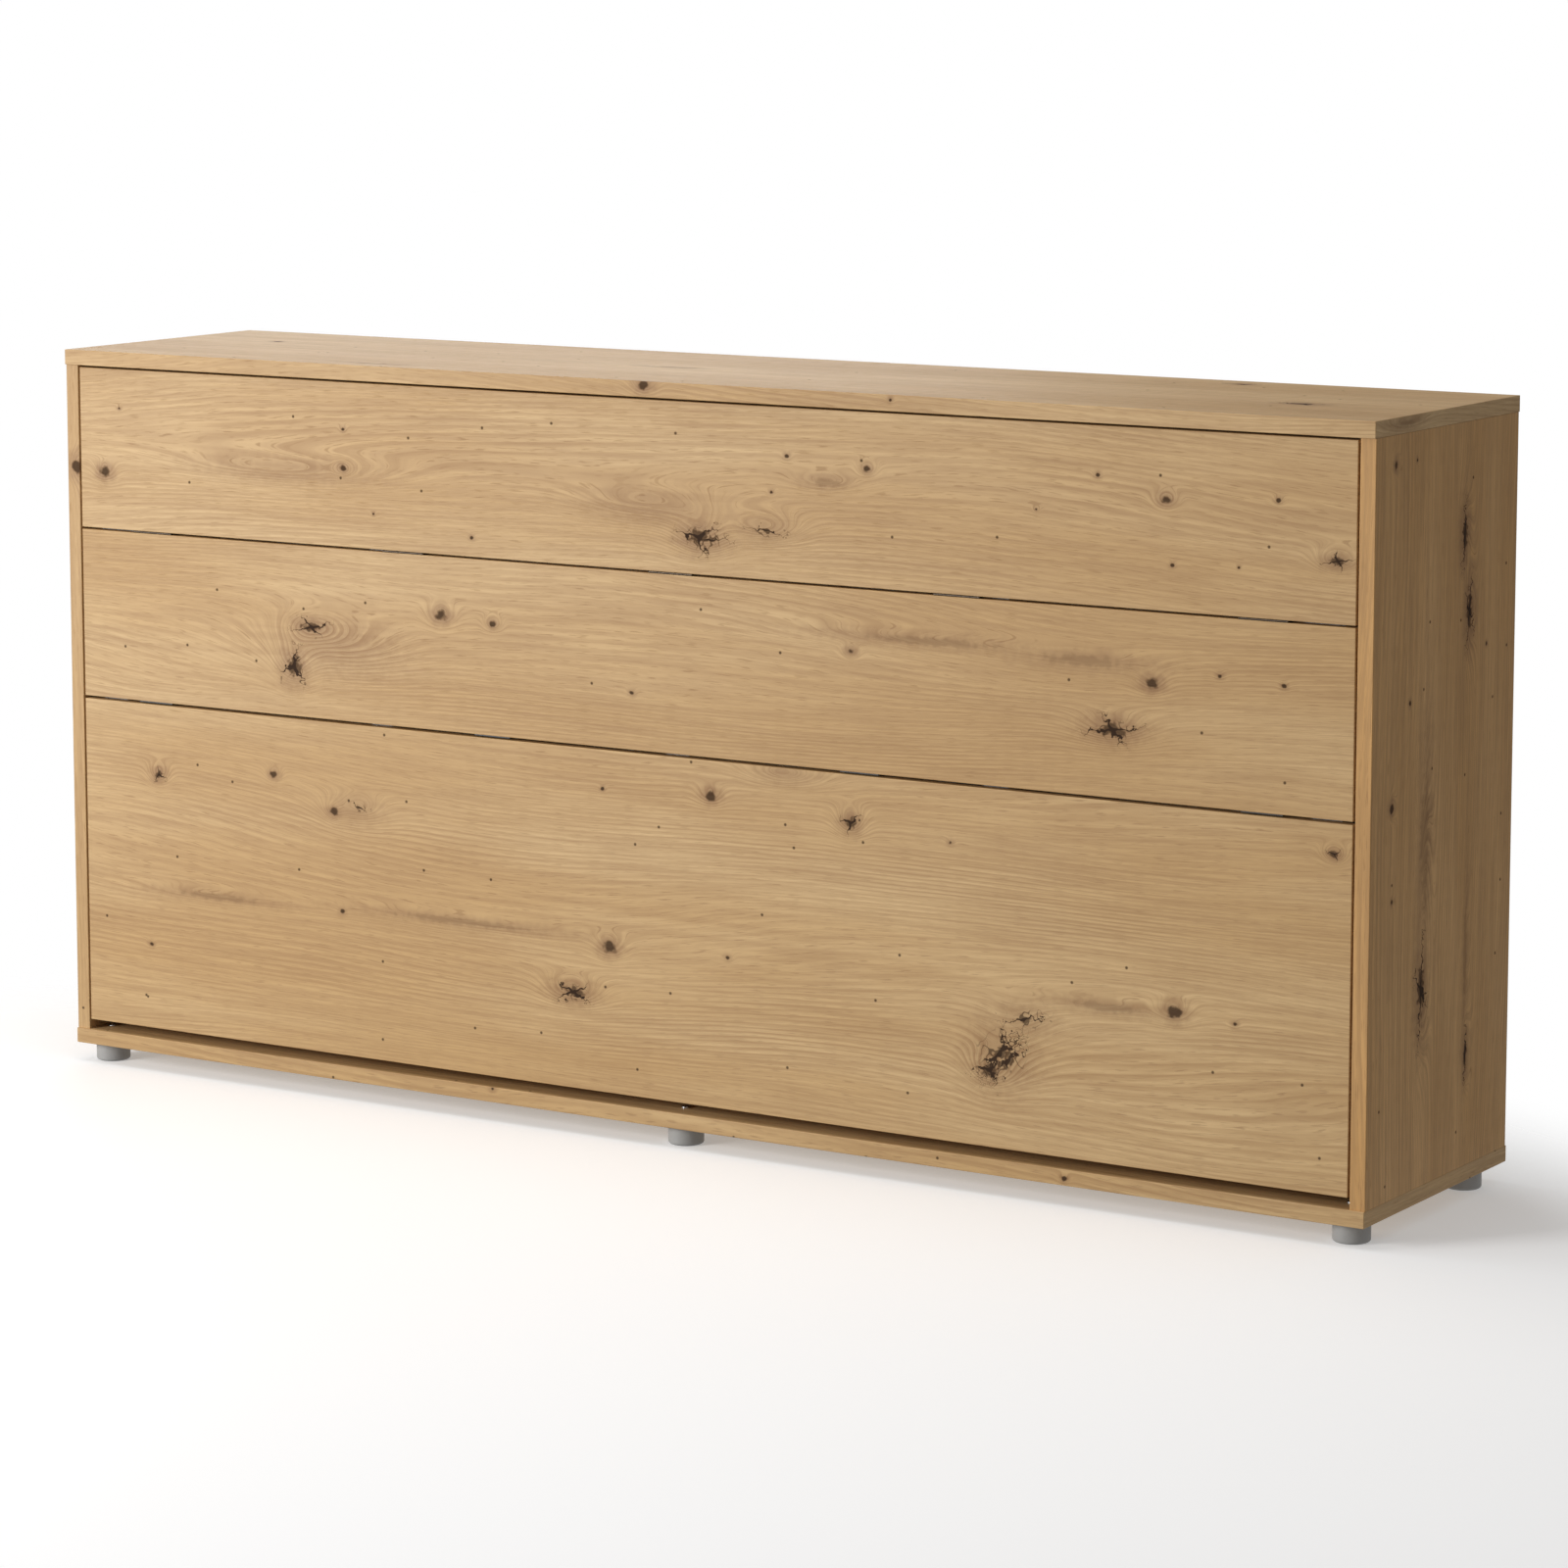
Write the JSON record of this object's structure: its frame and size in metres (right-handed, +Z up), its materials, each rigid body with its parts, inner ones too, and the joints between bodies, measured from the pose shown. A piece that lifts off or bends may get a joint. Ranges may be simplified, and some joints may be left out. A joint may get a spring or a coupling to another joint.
{
  "type": "murphy wall bed",
  "caption": "Low horizontal wall bed: an oak-effect cabinet whose panelled front folds down into a single bed on a hinged board leg.",
  "frame": {"origin": "centre of the object's box at its lowest point, on the floor under the middle of the cabinet", "axes": "+X along the bed, +Y towards the wall so that the front faces -Y, +Z up"},
  "size_m": [2.11, 0.436, 1.059],
  "materials": {
    "oak_laminate": "matte",
    "back_board": "matte",
    "birch_slat": "satin",
    "foot_plastic": "matte",
    "frame_paint": "satin",
    "zinc_steel": "satin",
    "bronzed_steel": "satin",
    "spring_black": "satin",
    "chrome_rod": "polished",
    "black_rubber": "matte",
    "white_nylon": "satin",
    "black_nylon": "satin",
    "mattress_fabric": "matte",
    "webbing": "matte"
  },
  "bodies": {
    "cabinet": {"bottom_board": "oak_laminate", "top_board": "oak_laminate", "left_side_board": "oak_laminate", "right_side_board": "oak_laminate", "cam_locks": "zinc_steel", "back_panel_left": "back_board", "back_panel_right": "back_board", "back_panel_strip": "white_nylon", "wall_rail": "oak_laminate", "foot_front_left": "foot_plastic", "foot_front_middle": "foot_plastic", "foot_front_right": "foot_plastic", "foot_rear_left": "foot_plastic", "foot_rear_middle": "foot_plastic", "foot_rear_right": "foot_plastic", "foot_screws": "zinc_steel", "left_pivot_bracket": "zinc_steel", "right_pivot_bracket": "zinc_steel", "left_spring_bracket": "zinc_steel", "right_spring_bracket": "zinc_steel", "left_stop_bracket": "zinc_steel", "right_stop_bracket": "zinc_steel", "stop_pads": "black_rubber", "spring_clips": "zinc_steel", "bracket_screws": "zinc_steel"},
    "bed": {"upper_front_board": "oak_laminate", "lower_front_board": "oak_laminate", "lower_rail_tube": "frame_paint", "upper_rail_tube": "frame_paint", "left_end_tube": "frame_paint", "left_cross_tube": "frame_paint", "middle_cross_tube": "frame_paint", "right_cross_tube": "frame_paint", "right_end_tube": "frame_paint", "front_screws": "zinc_steel", "left_end_plate": "frame_paint", "right_end_plate": "frame_paint", "left_pivot_bush": "white_nylon", "right_pivot_bush": "white_nylon", "left_spring_stud": "zinc_steel", "right_spring_stud": "zinc_steel", "lower_rail_board": "oak_laminate", "upper_rail_board": "oak_laminate", "slats": "birch_slat", "slat_caps": "black_rubber", "mattress": "mattress_fabric", "left_mattress_strap": "webbing", "right_mattress_strap": "webbing", "hinge_bed_leaves": "bronzed_steel", "hinge_pins": "bronzed_steel", "leg_stop_lugs": "frame_paint", "leg_magnets": "zinc_steel"},
    "leg": {"leg_board": "oak_laminate", "hinge_leg_leaves": "bronzed_steel", "leg_straps": "frame_paint", "leg_glides": "black_nylon"},
    "left_cylinder": {"left_spring_cylinder": "spring_black"},
    "right_cylinder": {"right_spring_cylinder": "spring_black"},
    "left_rod": {"left_spring_rod": "chrome_rod"},
    "right_rod": {"right_spring_rod": "chrome_rod"}
  },
  "joints": [
    {"name": "bed_fold", "type": "hinge", "parent": "cabinet", "child": "bed", "pos_m": [0, -0.137, 0.3277], "axis": [1, 0, 0], "range_deg": [0, 90], "stiffness_Nm_per_rad": 71, "springref_deg": -33.8},
    {"name": "leg_fold", "type": "hinge", "parent": "bed", "child": "leg", "pos_m": [0, -0.2137, 0.7985], "axis": [-1, 0, 0], "range_deg": [0, 90]},
    {"name": "left_cylinder_swing", "type": "hinge", "parent": "cabinet", "child": "left_cylinder", "pos_m": [-1.02, -0.017, 0.7277], "axis": [1, 0, 0], "range_deg": [0, 16.56]},
    {"name": "right_cylinder_swing", "type": "hinge", "parent": "cabinet", "child": "right_cylinder", "pos_m": [1.02, -0.017, 0.7277], "axis": [1, 0, 0], "range_deg": [0, 16.56]},
    {"name": "left_rod_slide", "type": "slide", "parent": "left_cylinder", "child": "left_rod", "axis": [0, 0.1843, 0.9829], "range_m": [0, 0.1827]},
    {"name": "right_rod_slide", "type": "slide", "parent": "right_cylinder", "child": "right_rod", "axis": [0, 0.1843, 0.9829], "range_m": [0, 0.1827]}
  ],
  "couplings": [
    {"joint": "left_cylinder_swing", "follows": "bed_fold", "ratio": 0.1839},
    {"joint": "right_cylinder_swing", "follows": "bed_fold", "ratio": 0.1839},
    {"joint": "left_rod_slide", "follows": "bed_fold", "m_per_rad": 0.1163},
    {"joint": "right_rod_slide", "follows": "bed_fold", "m_per_rad": 0.1163}
  ]
}
